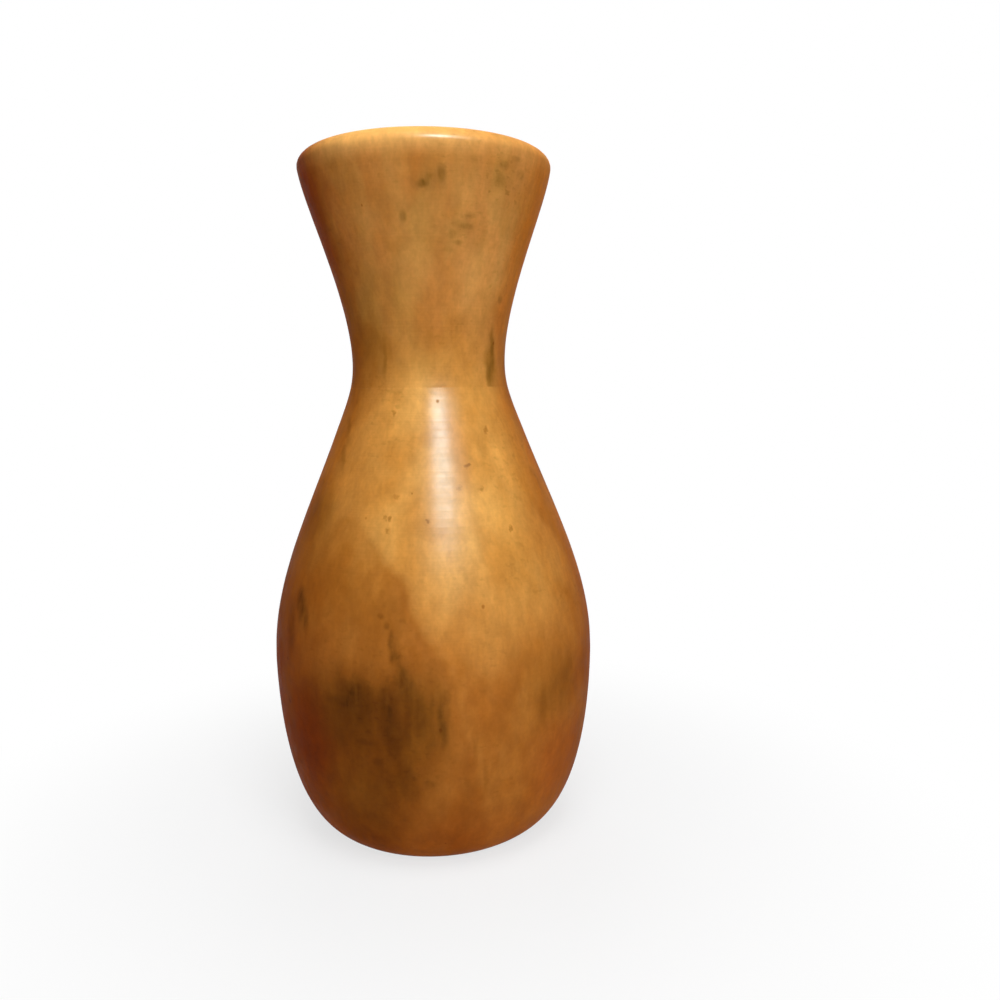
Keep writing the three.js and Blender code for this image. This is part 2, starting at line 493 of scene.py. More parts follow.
def new_material(name):
    """A material with nothing in it but its Principled shader and output."""
    material = bpy.data.materials.new(name)
    material.use_nodes = True
    tree = material.node_tree
    tree.nodes.clear()
    shader = tree.nodes.new("ShaderNodeBsdfPrincipled")
    output = tree.nodes.new("ShaderNodeOutputMaterial")
    tree.links.new(shader.outputs[0], output.inputs[0])
    return material, tree, shader


def millimetres(tree):
    """The object's own coordinates, in millimetres, and its normal."""
    coordinates = add(tree, "ShaderNodeTexCoord")
    place, normal = coordinates.outputs["Object"], coordinates.outputs["Normal"]
    per_metre = (1 / MM, 1 / MM, 1 / MM)
    return add(tree, "ShaderNodeMapping", {0: place, "Scale": per_metre}).outputs[0], normal


# Wide soft tones, as centre and half size in millimetres, colour and strength
BOWL_TONES = [
    ((-33, -60, 74), (31, 60, 21), "umber", 0.56),
    ((-30, -60, 54), (38, 60, 42), "umber", 0.66),
    ((-6, -70, 72), (17, 40, 26), "umber", 0.54),
    ((46, -54, 78), (22, 30, 22), "olive", 0.35),
    ((-18, -68, 44), (13, 30, 20), "umber", 0.26),
    ((-28, -56, 20), (24, 40, 18), "umber", 0.55),
    # Partly the wood's own red and partly painted shade: the next two rows darken and redden the low
    # flanks, at the sides as seen from the front
    ((-52, -44, 56), (15, 30, 34), "cherry", 0.50),
    ((50, -46, 42), (20, 30, 24), "cherry", 0.34),
    # Painted shade: the next two rows darken the outer sides of the shoulder, as seen from the front
    ((-48, -26, 149), (12, 22, 15), "umber", 0.36),
    ((46, -36, 140), (15, 26, 20), "russet", 0.30),
    ((40, 60, 60), (36, 50, 34), "umber", 0.50),
    ((36, 60, 76), (24, 40, 22), "olive", 0.40),
    ((-58, 36, 66), (24, 30, 26), "olive", 0.50),
]
NECK_TONES = [
    ((-18, -32, 228), (24, 30, 28), "olive", 0.36),
    ((0, -46, 266), (13, 20, 24), "olive", 0.24),
    ((31, -42, 286), (10, 16, 8), "olive", 0.26),
    ((23, -31, 242), (14, 20, 34), "pale_tone", 0.32),
    ((0, -36, 212), (9, 20, 15), "umber", 0.24),
    # Painted shade: the next two rows darken and redden the neck's left edge, as seen from the front
    ((-47, -22, 280), (12, 20, 24), "cherry", 0.45),
    ((-47, -22, 278), (14, 20, 20), "umber", 0.35),
    ((26.0, -22.6, 211), (3.0, 8, 15), "umber", 0.50),
    ((-10, 44, 262), (18, 24, 26), "olive", 0.35),
    ((20, 28, 226), (18, 20, 28), "olive", 0.40),
]

# Tones that paint over the wood, where all others darken it
PAINTED = {"pale_tone"}

# Stains, as centre and half size in millimetres, and strength. The first rows are on the front,
# where the photograph shows them, and the rest carries the same wood on round the back.
BOWL_STAINS = [
    ((-20.6, -66, 111.6), (2.0, 8, 1.5), 0.40),
    ((-19.0, -66, 108.6), (1.6, 8, 1.9), 0.36),
    ((-17.2, -68, 103.5), (1.5, 20, 5), 0.30),
    ((-16.0, -69, 98), (2.8, 20, 7), 0.30),
    ((-14.6, -70, 92), (4.2, 20, 9), 0.30),
    ((-12.0, -71, 86), (5.5, 20, 10), 0.28),
    ((-12.6, -71, 88), (1.6, 20, 7), 0.20),
    ((-8.6, -72, 78), (4.6, 20, 12), 0.18),
    ((-6.6, -72, 73), (3.2, 20, 12), 0.20),
    ((-11.5, -71, 71), (2.2, 20, 13), 0.20),
    ((-1.6, -72, 78), (1.6, 20, 6), 0.16),
    ((2.3, -72, 75), (3.0, 20, 12), 0.30),
    ((2.1, -72, 65), (2.8, 20, 7), 0.31),
    ((-0.5, -72, 72), (6.0, 20, 16), 0.11),
    ((-18.6, -70, 79), (4.2, 20, 9), 0.40),
    ((-17.0, -70, 65), (6.5, 20, 11), 0.34),
    ((-33, -64, 83), (9.0, 20, 5), 0.36),
    ((-38, -61, 77), (9.0, 20, 3), 0.26),
    ((-30, -65, 77), (13, 20, 10), 0.26),
    ((-28.5, -65.5, 61), (5.0, 20, 1.8), 0.30),
    ((-24, -66.5, 53), (3.4, 20, 2.4), 0.28),
    ((-13, -69, 49), (4.6, 20, 10), 0.26),
    ((-10.5, -68, 40), (5.0, 20, 7), 0.18),
    ((-3.4, -69, 43.5), (3.4, 20, 2.6), 0.22),
    ((15, -70, 60), (1.6, 20, 10), 0.16),
    ((19, -67, 44), (1.6, 20, 9), 0.18),
    ((-55.5, -41, 112), (3.0, 10, 9), 0.55),
    ((-52.5, -45, 106), (1.7, 8, 7), 0.40),
    ((-60, -36, 101), (3.5, 9, 13), 0.28),
    ((51, -51, 76), (8, 20, 12), 0.16),
    ((44, -57, 72), (2.5, 18, 10), 0.20),
    ((56, -45, 82), (3, 18, 8), 0.24),
    ((38, -61, 90), (7, 18, 5), 0.05),
    ((-35, -25, 184), (1.7, 9, 10), 0.36),
    ((-37, -29, 172), (1.5, 9, 8), 0.25),
    ((36, 62, 66), (13, 24, 18), 0.40),
    ((44, 54, 88), (3, 20, 22), 0.40),
    ((28, 66, 84), (2.4, 20, 24), 0.36),
    ((-30, 62, 118), (3, 20, 18), 0.28),
    ((-60, 26, 60), (12, 14, 11), 0.32),
]
NECK_STAINS = [
    ((27.0, -21.6, 215), (1.5, 6, 13), 0.46),
    ((25.4, -23.4, 206), (1.6, 6, 8), 0.36),
    ((-18.3, -28.7, 213), (1.2, 8, 12), 0.26),
    ((2, -51, 280), (8, 10, 5), 0.22),
    ((-0.8, -51, 278.5), (3.2, 8, 1.8), 0.36),
    ((1.5, -51, 280.8), (1.8, 8, 2.2), 0.26),
    ((6.5, -51.7, 282.2), (2.2, 8, 4.2), 0.26),
    ((-8.9, -46.3, 267.2), (1.8, 8, 2.8), 0.34),
    ((14, -44, 264), (7, 10, 4), 0.16),
    ((15.3, -43.3, 263.6), (3.6, 8, 1.5), 0.26),
    ((17.8, -44, 267.6), (2.4, 8, 1.6), 0.14),
    ((10.1, -43.6, 260.3), (2.0, 8, 2.2), 0.34),
    ((12.5, -43, 257.8), (2.6, 8, 1.3), 0.24),
    ((8.5, -42, 254.6), (3.0, 8, 1.5), 0.20),
    ((31.5, -43.3, 287), (3.0, 8, 2.2), 0.26),
    ((35.7, -41, 289.5), (3.2, 8, 1.7), 0.22),
    ((29.5, -42.6, 281.5), (2.4, 8, 3.0), 0.26),
    ((38.1, -36.7, 284.7), (2.4, 8, 2.0), 0.26),
    ((30.6, -22.3, 236.8), (1.6, 6, 2.8), 0.30),
    ((-12, 48, 270), (5, 18, 12), 0.24),
    ((24, 26, 216), (1.8, 9, 17), 0.40),
]

# Disturbed grain, thick with bruises
BOWL_BURRS = [
    ((-18, -68, 58), (24, 30, 24), 0.9),
    ((12, -60, 122), (12, 30, 16), 0.5),
]
NECK_BURRS = [
    ((29, -42, 281), (18, 22, 13), 1.5),
    ((14, -44, 263), (13, 18, 11), 1.2),
    ((-20, 40, 270), (16, 24, 12), 1.0),
]

# Pin knots and small bruises, as centre, half size and strength
SPECKS = [
    ((-19, -52, 149), (1.0, 5, 1.2), 0.30),
    ((-17, -53, 148.6), (1.1, 5, 1.3), 0.50),
    ((-18, -54, 144), (1.5, 5, 1.4), 0.36),
    ((-2, -56, 147.6), (1.1, 5, 1.2), 0.50),
    ((14.6, -45, 168.6), (1.6, 5, 1.0), 0.55),
    ((23, -35, 182.4), (1.0, 5, 2.2), 0.40),
    ((32, -48, 143), (1.2, 5, 1.8), 0.45),
    ((-15, -36, 190), (1.1, 5, 1.6), 0.40),
    ((-14.5, -50, 157), (1.9, 5, 1.2), 0.26),
    ((11, -50, 160), (1.4, 5, 1.4), 0.30),
    ((20, -47, 159), (1.4, 5, 1.3), 0.36),
]

# How far each pattern lightens and darkens the colour that it crosses
SHADE_DEPTHS = {
    "figure": 0.05,
    "blotches": 0.05,
    "mottle": 0.06,
    "flecks": 0.03,
    "streaks": 0.015,
    "hairs": 0.006,
    "marks": 0.01,
}

# Direction square to the surface behind which the blank is heartwood
HEART_SLANT = (0.805, 0.530, 0.269)

# Year rings on the plug, in millimetres
RING_WIDTH = 3.4


def times(tree, *values):
    """The product of several numbers."""
    product = values[0]
    for value in values[1:]:
        product = calc(tree, "MULTIPLY", product, value)
    return product


def fibres(tree, place, across, along, detail=2.0, seed=0.0):
    """Noise at a place, of this size across the grain and along it, in millimetres."""
    size = {"Across": across, "Along": along}
    return use(tree, shared("fibre"), Position=place, Detail=detail, Seed=seed, **size)


def patch(tree, place, centre, size, strength):
    """One soft patch, which reaches its strength in the middle."""
    mask = use(tree, shared("patch"), Position=place, Centre=centre, Size=size)
    return calc(tree, "MULTIPLY", mask, strength)


def darkened(tree, share, colour, tone):
    """Darkens a colour as a dye of that tint does, by a share of its full strength. It draws the wood's
    own dyes and painted shade alike.
    """
    return blend(tree, share, colour, tone, kind="MULTIPLY")


def spotted(tree, wood, colour, mask, russet_share, stain_share):
    """Dyes a colour with a share of two dyes where a mask lies."""
    colour = darkened(tree, calc(tree, "MULTIPLY", mask, russet_share), colour, wood.russet)
    return darkened(tree, calc(tree, "MULTIPLY", mask, stain_share), colour, wood.stain)


def raised(tree, shader, height, strength, distance):
    """Gives a shader a relief of this depth, in metres."""
    bump = add(tree, "ShaderNodeBump", {"Strength": strength, "Distance": distance, "Height": height})
    tree.links.new(bump.outputs[0], shader.inputs["Normal"])


def wood_grain(tree, here, roaming, nearby):
    """The patterns in the wood, from wide clouds to single fibres and sanding rings."""
    return SimpleNamespace(
        clouds=fibres(tree, roaming, 20.0, 34.0, detail=3.0),
        figure=fibres(tree, roaming, 9.0, 150.0, seed=5.0),
        blotches=fibres(tree, roaming, 6.5, 11.0, seed=29.0),
        mottle=fibres(tree, nearby, 3.4, 7.0, seed=3.0),
        flecks=fibres(tree, nearby, 1.3, 1.6, detail=1.0, seed=9.0),
        streaks=fibres(tree, nearby, 1.3, 30.0, detail=3.0, seed=7.0),
        hairs=fibres(tree, here, 0.34, 7.0, seed=11.0),
        marks=use(tree, shared("marks"), Position=here, Pitch=0.8),
    )


def blank_spot(tree, here, roaming, normal):
    """Where a point lies on its blank. All but the true height are a little unsteady."""
    x, y, height = add(tree, "ShaderNodeSeparateXYZ", {0: roaming}).outputs
    level = add(tree, "ShaderNodeCombineXYZ", {0: x, 1: y}).outputs[0]
    radius = vector(tree, "LENGTH", level)
    sideways = calc(tree, "DIVIDE", x, radius)
    forward = calc(tree, "DIVIDE", y, radius)

    # The painted shade of the two outer sides is weaker inside the mouth, and towards the back
    inside = ramp(tree, vector(tree, "DOT_PRODUCT", normal, level), 2.0, -6.0)
    outer = calc(tree, "MULTIPLY_ADD", inside, -0.85, 1.0)
    return SimpleNamespace(
        height=height,
        true_height=add(tree, "ShaderNodeSeparateXYZ", {0: here}).outputs[2],
        sideways=sideways,
        leftness=times(tree, calc(tree, "MAXIMUM", calc(tree, "MULTIPLY", sideways, -1.0), 0.0), outer),
        rightness=times(tree, calc(tree, "MAXIMUM", sideways, 0.0), outer),
        forward=forward,
        facing=ramp(tree, forward, 0.8, -0.3, 0.25, 1.0),
        inside=inside,
        outer=outer,
    )


def ground_colour(tree, wood, grain, spot, cast):
    """Honey and amber clouds, duller in bands up the neck's blank, and redder towards the foot."""
    colour = blend(tree, ramp(tree, grain.clouds, 0.3, 0.7), wood.amber, wood.honey)
    bands = ramp(tree, grain.figure, 0.35, 0.65, 0.5, 0.9)
    dullness = times(tree, bands, ramp(tree, spot.height, 198.0, 228.0, 0.1, 1.0), cast)
    colour = darkened(tree, dullness, colour, wood.rose)
    belly = ramp(tree, spot.height, 140.0, 72.0, 0.0, 0.6)
    low = calc(tree, "ADD", belly, ramp(tree, spot.height, 72.0, 8.0, 0.0, 0.1))
    foot = ramp(tree, spot.height, 42.0, 10.0, 0.0, 0.22)
    colour = darkened(tree, low, colour, wood.russet)
    return darkened(tree, calc(tree, "MULTIPLY_ADD", low, 0.22, foot), colour, wood.cherry)


def heartwood(tree, roaming, height):
    """Heartwood, behind a slanted surface through the blank. It reaches the front low on the left."""
    return times(
        tree,
        ramp(tree, vector(tree, "DOT_PRODUCT", roaming, HEART_SLANT), -8.0, -12.5),
        ramp(tree, height, 82.0, 118.0, 0.3, 0.78),
        ramp(tree, height, 172.0, 120.0, 0.3, 1.0),
    )


def painted_flank_shade(tree, wood, colour, grain, spot, heart):
    """Painted shade: darkens and reddens the two outer sides as seen from the front, closer to the edge
    on the neck and over the heartwood, and warms the neck's right edge.
    """
    reddest = times(
        tree, ramp(tree, spot.forward, 0.3, -0.3), ramp(tree, grain.figure, 0.35, 0.65, 0.6, 1.2)
    )
    closeness = calc(
        tree,
        "MAXIMUM",
        ramp(tree, spot.height, 195.0, 245.0, 1.6, 2.9),
        calc(tree, "MULTIPLY_ADD", heart, 2.0, 1.6),
    )
    gain = ramp(tree, spot.height, 195.0, 245.0, 0.95, 1.1)
    left = times(tree, calc(tree, "POWER", spot.leftness, closeness), gain, spot.facing)
    colour = darkened(tree, left, colour, wood.russet)
    on_belly = ramp(tree, spot.height, 130.0, 80.0, 0.08, 0.5)
    on_neck = ramp(tree, spot.height, 225.0, 260.0, 0.0, 0.36)
    redness = times(
        tree, calc(tree, "ADD", on_belly, on_neck), calc(tree, "POWER", spot.leftness, 4.5), reddest
    )
    colour = darkened(tree, redness, colour, wood.cherry)

    right = times(
        tree,
        calc(tree, "POWER", spot.rightness, 3.6),
        ramp(tree, spot.height, 250.0, 205.0, 0.0, 0.78),
        ramp(tree, spot.height, 40.0, 90.0, 0.45, 1.0),
        spot.facing,
    )
    colour = darkened(tree, right, colour, wood.russet)
    redness = times(tree, calc(tree, "POWER", spot.rightness, 7.0), 0.4, reddest)
    colour = darkened(tree, redness, colour, wood.cherry)
    neck_edge_shade = times(
        tree,
        ramp(tree, spot.sideways, 0.7, 1.0, 0.0, 0.85),
        ramp(tree, spot.height, 205.0, 245.0),
        spot.outer,
        spot.facing,
    )
    return blend(tree, neck_edge_shade, colour, wood.neck_edge_shade)


def painted_rim_light(tree, wood, colour, spot):
    """Painted light: the rim's rounding, which faces up to the light, is made paler, less so at its two
    sides.
    """
    rim_light = times(
        tree,
        ramp(tree, spot.true_height, 286.5, 296.0, 0.0, 0.95),
        ramp(tree, spot.leftness, 1.0, 0.5),
        ramp(tree, spot.rightness, 0.65, 0.05, 0.3, 1.0),
    )
    return blend(tree, rim_light, colour, wood.pale_tone)


def grain_shaded(tree, colour, grain):
    """Lightens and darkens a colour by the patterns that cross it."""
    levels = [
        ramp(tree, getattr(grain, pattern), 0.3, 0.7, 1.0 - depth, 1.0 + depth)
        for pattern, depth in SHADE_DEPTHS.items()
    ]
    return vector(tree, "SCALE", colour, times(tree, *levels))


def soaked(tree, wood, colour, streaks, here, nearby, stains):
    """Stains soak along the fibres, with ragged edges, so their sum is broken up and combed."""
    swaying = use(tree, shared("warp"), Position=here, Reach=1.4, Cell=7.0)
    soak = 0.0
    for row in stains:
        soak = calc(tree, "ADD", soak, patch(tree, swaying, *row))
    ragged = fibres(tree, nearby, 4.0, 8.0, detail=4.0, seed=23.0)
    soak = times(
        tree, soak, ramp(tree, ragged, 0.3, 0.7, 0.82, 1.5), ramp(tree, streaks, 0.34, 0.62, 0.82, 1.12)
    )
    return darkened(tree, soak, colour, wood.stain)


def bruised(tree, wood, colour, roaming, nearby, burrs):
    """Small bruises, thickest where the grain is disturbed."""
    bruise = ramp(tree, fibres(tree, nearby, 3.4, 2.2, seed=13.0), 0.52, 0.72)
    disturbed = ramp(tree, fibres(tree, roaming, 26.0, 26.0, seed=19.0), 0.46, 0.62, 0.05, 1.0)
    for row in burrs:
        disturbed = calc(tree, "ADD", disturbed, patch(tree, roaming, *row))
    return darkened(tree, times(tree, bruise, disturbed, 0.2), colour, wood.stain)


def lacquered_wood(name, wood, tones, stains, burrs, specks=(), cast=0.0):
    """Satin-finished wood: clouds, figure, heartwood, stains, bruises, pores and sanding rings, with
    painted shade on the outer sides and painted light on the rim.
    """
    material, tree, shader = new_material(name)
    here, normal = millimetres(tree)
    roaming = use(tree, shared("warp"), Position=here, Reach=5.0, Cell=24.0)
    nearby = use(tree, shared("warp"), Position=here, Reach=0.9, Cell=9.0)
    grain = wood_grain(tree, here, roaming, nearby)
    spot = blank_spot(tree, here, roaming, normal)

    heart = heartwood(tree, roaming, spot.height)
    colour = ground_colour(tree, wood, grain, spot, cast)
    colour = darkened(tree, heart, colour, wood.heart)
    for centre, size, tone, strength in tones:
        kind = "MIX" if tone in PAINTED else "MULTIPLY"
        mask = patch(tree, roaming, centre, size, strength)
        colour = blend(tree, mask, colour, getattr(wood, tone), kind)
    # Painted shade on the two outer sides, as seen from the front
    colour = painted_flank_shade(tree, wood, colour, grain, spot, heart)
    # Painted light on the rim's rounding
    colour = painted_rim_light(tree, wood, colour, spot)
    colour = grain_shaded(tree, colour, grain)
    colour = soaked(tree, wood, colour, grain.streaks, here, nearby, stains)

    # Pin knots, drawn on a finely shaken position so that none is round, then bruises and pores
    shaken = use(tree, shared("warp"), Position=here, Reach=1.3, Cell=1.5)
    for row in specks:
        colour = spotted(tree, wood, colour, patch(tree, shaken, *row), 0.8, 0.7)
    colour = bruised(tree, wood, colour, roaming, nearby, burrs)
    pits = use(tree, shared("pits"), Position=nearby, Spacing=9.0, Radius=0.8, Share=0.35)
    colour = spotted(tree, wood, colour, pits, 0.5, 0.15)

    # Inside, beyond the reach of the cloth, the wood is paler and dull
    deep = times(tree, spot.inside, ramp(tree, spot.height, 275.0, 225.0))
    colour = blend(tree, calc(tree, "MULTIPLY", deep, 0.6), colour, wood.raw)
    tree.links.new(colour, shader.inputs["Base Color"])

    # A thin film carries the gloss. It is uneven over the sanding rings and the mottle, missing in the
    # pores and deep inside, thickest on the rim, and hardly seen edge on.
    edge_on = add(tree, "ShaderNodeLayerWeight", {"Blend": 0.5}).outputs["Facing"]
    film = times(
        tree,
        ramp(tree, grain.marks, 0.25, 0.75, 0.048, 0.076),
        ramp(tree, grain.mottle, 0.3, 0.7, 0.8, 1.1),
        calc(tree, "SUBTRACT", 1.0, calc(tree, "MAXIMUM", deep, pits)),
        ramp(tree, edge_on, 0.12, 0.6, 1.0, 0.02),
        ramp(tree, spot.true_height, 285.0, 294.0, 1.0, 1.45),
    )
    tree.links.new(film, shader.inputs["Coat Weight"])
    shader.inputs["Coat Roughness"].default_value = 0.27
    shader.inputs["Specular IOR Level"].default_value = 0.01
    tree.links.new(ramp(tree, grain.mottle, 0.3, 0.7, 0.45, 0.6), shader.inputs["Roughness"])

    relief = calc(tree, "ADD", times(tree, grain.marks, 0.8), times(tree, grain.hairs, 0.2))
    relief = calc(tree, "ADD", relief, times(tree, grain.mottle, 0.5))
    relief = calc(tree, "SUBTRACT", relief, times(tree, pits, 1.5))
    raised(tree, shader, relief, 0.35, 0.00012)
    return material


def raw_wood(name, wood):
    """Bare turned wood with end grain, for the plug."""
    material, tree, shader = new_material(name)
    here, _ = millimetres(tree)
    warped = use(tree, shared("warp"), Position=here, Reach=2.5, Cell=20.0)

    # The rings are drawn round the heart of the log, which lies off the plug
    offset = vector(tree, "SUBTRACT", warped, (46.0, 31.0, 0.0))
    distance = vector(tree, "LENGTH", vector(tree, "MULTIPLY", offset, (1.0, 1.0, 0.0)))
    rings = calc(tree, "FRACT", calc(tree, "DIVIDE", distance, RING_WIDTH))
    hairs = fibres(tree, here, 0.5, 5.0, detail=3.0)
    tone = calc(
        tree, "ADD", ramp(tree, rings, 0.0, 1.0, 0.86, 1.05), ramp(tree, hairs, 0.3, 0.7, -0.08, 0.06)
    )
    base = blend(tree, ramp(tree, rings, 0.55, 1.0), wood.raw, wood.amber)
    tree.links.new(vector(tree, "SCALE", base, tone), shader.inputs["Base Color"])
    tree.links.new(ramp(tree, hairs, 0.3, 0.7, 0.6, 0.75), shader.inputs["Roughness"])
    raised(tree, shader, hairs, 0.5, 0.00015)
    return material


def felt(name):
    """Pressed wool felt: matted fibres of mixed browns, with a fuzzy sheen."""
    material, tree, shader = new_material(name)
    here, _ = millimetres(tree)
    tangle = use(tree, shared("warp"), Position=here, Reach=0.9, Cell=1.6)
    settings = {"Vector": tangle, "Scale": 2.6, "Detail": 6.0, "Roughness": 0.7}
    mat = add(tree, "ShaderNodeTexNoise", settings).outputs[0]
    tufts = add(tree, "ShaderNodeTexNoise", {"Vector": here, "Scale": 0.35, "Detail": 3.0}).outputs[0]
    colour = blend(tree, ramp(tree, mat, 0.35, 0.68), tint(52, 38, 28), tint(104, 80, 60))
    colour = blend(tree, ramp(tree, tufts, 0.4, 0.7, 0.0, 0.35), colour, tint(40, 30, 24))
    tree.links.new(colour, shader.inputs["Base Color"])
    tree.links.new(ramp(tree, mat, 0.3, 0.7, 0.85, 0.98), shader.inputs["Roughness"])
    raised(tree, shader, mat, 0.8, 0.0004)
    shader.inputs["Sheen Weight"].default_value = 0.4
    shader.inputs["Sheen Roughness"].default_value = 0.6
    return material


def clear_glass(name):
    """Drawn tube glass: clear, faintly green, with slight waves and a few smears."""
    material, tree, shader = new_material(name)
    here, _ = millimetres(tree)
    waves = fibres(tree, here, 9.0, 60.0, detail=1.0)
    smears = fibres(tree, here, 6.0, 14.0, detail=4.0, seed=5.0)
    tree.links.new(ramp(tree, smears, 0.5, 0.75, 0.01, 0.09), shader.inputs["Roughness"])
    raised(tree, shader, waves, 0.05, 0.0003)
    shader.inputs["Base Color"].default_value = (*tint(246, 251, 249), 1)
    shader.inputs["Transmission Weight"].default_value = 1.0
    shader.inputs["IOR"].default_value = 1.47
    return material


# The lathe: a Geometry Nodes tree that turns an outline about the Z axis


def lathe_tree(material):
    tree = bpy.data.node_groups.new("Lathe", "GeometryNodeTree")
    face = tree.interface
    face.new_socket("Outline", in_out="INPUT", socket_type="NodeSocketGeometry")
    around = face.new_socket("Steps Around", in_out="INPUT", socket_type="NodeSocketInt")
    around.default_value = 64
    for label, value in (("Wave Depth", 0.0), ("Wave Length", 0.009), ("Weld", 0.000002)):
        socket = face.new_socket(label, in_out="INPUT", socket_type="NodeSocketFloat")
        socket.default_value = value
    face.new_socket("Turned", in_out="OUTPUT", socket_type="NodeSocketGeometry")
    start = add(tree, "NodeGroupInput").outputs
    end = add(tree, "NodeGroupOutput")

    # One row of the grid for each point of the outline, one column for each step round, and one more
    counted = add(tree, "GeometryNodeAttributeDomainSize", {0: start["Outline"]}, component="MESH")
    rows = counted.outputs[0]
    columns = calc(tree, "ADD", start["Steps Around"], 1.0)
    grid = add(tree, "GeometryNodeMeshGrid", {"Vertices X": rows, "Vertices Y": columns}).outputs[0]
    index = add(tree, "GeometryNodeInputIndex").outputs[0]
    row = calc(tree, "FLOOR", calc(tree, "DIVIDE", calc(tree, "ADD", index, 0.5), columns))
    column = calc(tree, "SUBTRACT", index, calc(tree, "MULTIPLY", row, columns))

    place = add(tree, "GeometryNodeInputPosition").outputs[0]
    sample = add(
        tree,
        "GeometryNodeSampleIndex",
        {"Geometry": start["Outline"], "Value": place, "Index": row},
        data_type="FLOAT_VECTOR",
        domain="POINT",
    )
    point = add(tree, "ShaderNodeSeparateXYZ", {0: sample.outputs[0]}).outputs

    # Slow waves up the outline, cut inwards only
    wave = add(
        tree,
        "ShaderNodeTexNoise",
        {"W": calc(tree, "DIVIDE", point[2], start["Wave Length"]), "Scale": 1.0, "Detail": 1.0},
        noise_dimensions="1D",
    )
    cut = calc(tree, "MULTIPLY", wave.outputs[0], start["Wave Depth"])
    radius = calc(tree, "MAXIMUM", calc(tree, "SUBTRACT", point[0], cut), 0.0)

    share = calc(tree, "DIVIDE", column, start["Steps Around"])
    angle = calc(tree, "MULTIPLY", share, math.tau)
    turned = add(
        tree,
        "ShaderNodeCombineXYZ",
        {
            0: calc(tree, "MULTIPLY", radius, calc(tree, "COSINE", angle)),
            1: calc(tree, "MULTIPLY", radius, calc(tree, "SINE", angle)),
            2: point[2],
        },
    ).outputs[0]
    moved = add(tree, "GeometryNodeSetPosition", {"Geometry": grid, "Position": turned}).outputs[0]
    welded = add(tree, "GeometryNodeMergeByDistance", {"Geometry": moved, "Distance": start["Weld"]})
    rounded = add(tree, "GeometryNodeSetShadeSmooth", {"Geometry": welded.outputs[0]}).outputs[0]
    real = add(tree, "GeometryNodeRealizeInstances", {"Geometry": rounded}).outputs[0]
    finish = add(tree, "GeometryNodeSetMaterial", {"Geometry": real, "Material": material}).outputs[0]
    tree.links.new(finish, end.inputs[0])
    return tree


def turn(name, node, slot, material, easing, depth=0.0):
    """Turns one piece from its node's section, and gives it to the node's body in its place."""
    turning = bpy.context.scene.vase_turning
    points = finished_outline(node, easing, turning.step)
    outline = bpy.data.meshes.new(f"{name}_outline")
    corners = [(max(point.x, 0.0), 0.0, point.y) for point in points]
    outline.from_pydata(corners, [(i, i + 1) for i in range(len(corners) - 1)], [])
    host = bpy.data.objects.new(f"{name}_on_lathe", outline)
    bpy.context.scene.collection.objects.link(host)

    tree = lathe_tree(material)
    lathe = host.modifiers.new("Lathe", "NODES")
    lathe.node_group = tree
    settings = {
        "Steps Around": turning.around,
        "Wave Depth": depth,
        "Wave Length": turning.tool_pitch,
    }
    for socket in tree.interface.items_tree:
        if socket.name in settings:
            lathe[socket.identifier] = settings[socket.name]
    graph = bpy.context.evaluated_depsgraph_get()
    mesh = bpy.data.meshes.new_from_object(host.evaluated_get(graph), depsgraph=graph)
    bpy.data.objects.remove(host)

    mesh.name = name
    piece = bpy.data.objects.new(name, mesh)
    bpy.context.scene.collection.objects.link(piece)
    face_outwards(piece)
    body = next(body for body, nodes in frame["record"]["behaviour"]["bodies"].items() if node in nodes)
    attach(piece, body)
    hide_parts(node)
    return piece


def face_outwards(piece):
    """Turns every face of a closed piece round if its volume comes out negative."""
    mesh = piece.data
    mesh.calc_loop_triangles()
    volume = 0.0
    for triangle in mesh.loop_triangles:
        a, b, c = (mesh.vertices[i].co for i in triangle.vertices)
        volume += a.dot(b.cross(c))
    if volume < 0:
        mesh.flip_normals()


# Operators, one for each piece and one for the stage


class VASE_OT_turn_bowl(Operator):
    """Turn the bowl and finish it in lacquered wood"""

    bl_idname = "vase.turn_bowl"
    bl_label = "Turn Bowl"

    def execute(self, context):
        turning, wood = context.scene.vase_turning, context.scene.vase_wood
        material = lacquered_wood("Bowl Wood", wood, BOWL_TONES, BOWL_STAINS, BOWL_BURRS, SPECKS)
        turn("turned_bowl", "bowl", "bowl_wood", material, turning.wood_edge, turning.tool_depth)
        return {"FINISHED"}


class VASE_OT_turn_neck(Operator):
    """Turn the flared neck and finish it in lacquered wood"""

    bl_idname = "vase.turn_neck"
    bl_label = "Turn Neck"

    def execute(self, context):
        turning, wood = context.scene.vase_turning, context.scene.vase_wood
        material = lacquered_wood("Neck Wood", wood, NECK_TONES, NECK_STAINS, NECK_BURRS, cast=1.0)
        turn("turned_neck", "neck_collar", "neck_wood", material, turning.wood_edge, turning.tool_depth)
        return {"FINISHED"}


class VASE_OT_turn_plug(Operator):
    """Turn the plug that closes the foot"""

    bl_idname = "vase.turn_plug"
    bl_label = "Turn Base Plug"

    def execute(self, context):
        material = raw_wood("Plug Wood", context.scene.vase_wood)
        turn("turned_plug", "base_plug", "plug_wood", material, context.scene.vase_turning.wood_edge)
        return {"FINISHED"}


class VASE_OT_cut_felt(Operator):
    """Cut the felt pad that the vase rests on"""

    bl_idname = "vase.cut_felt"
    bl_label = "Cut Felt Pad"

    def execute(self, context):
        edge = context.scene.vase_turning.felt_edge
        pad = turn("felt_disc", "felt_pad", "felt", felt("Pad Felt"), edge)
        return {"FINISHED"}


